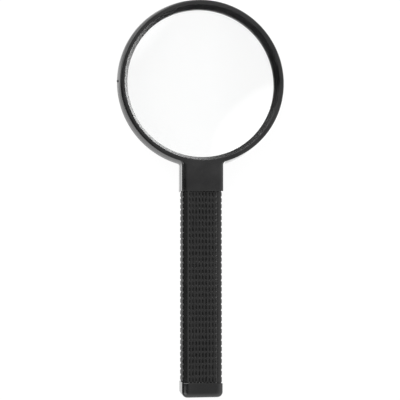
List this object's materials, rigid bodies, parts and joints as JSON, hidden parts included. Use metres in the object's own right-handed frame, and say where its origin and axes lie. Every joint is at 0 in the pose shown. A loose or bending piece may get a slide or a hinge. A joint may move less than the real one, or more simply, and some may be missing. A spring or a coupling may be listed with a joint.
{
  "type": "hand lens",
  "caption": "Large handled magnifying glass: round biconvex lens in a black two-part ring with a collar, long rectangular textured grip and a push-on end cap.",
  "frame": {"origin": "under the middle of the whole length, on the plane the lens lies flat on", "axes": "+Z along the lens axis towards the front face, +Y along the handle's axis from the handle to the ring, +X across the ring to the right as seen from the front"},
  "size_m": [0.1022, 0.24, 0.017],
  "materials": {
    "optical_glass": "polished clear",
    "gloss_black_plastic": "glossy moulded black",
    "inner_black_plastic": "plain moulded black",
    "matt_black_grip": "satin black with a woven relief",
    "zinc_plated_steel": "zinc plated"
  },
  "bodies": {
    "magnifier": {"lens": "optical_glass", "front_frame": "gloss_black_plastic", "rear_frame": "gloss_black_plastic", "handle_tube": "inner_black_plastic", "grip_sleeve": "matt_black_grip", "tang_screw_upper": "zinc_plated_steel", "tang_screw_lower": "zinc_plated_steel"},
    "end_cap": {"end_cap": "gloss_black_plastic"}
  },
  "joints": [
    {"name": "cap_pull", "type": "slide", "parent": "magnifier", "child": "end_cap", "axis": [0, -1, 0], "range_m": [0, 0.03]}
  ]
}
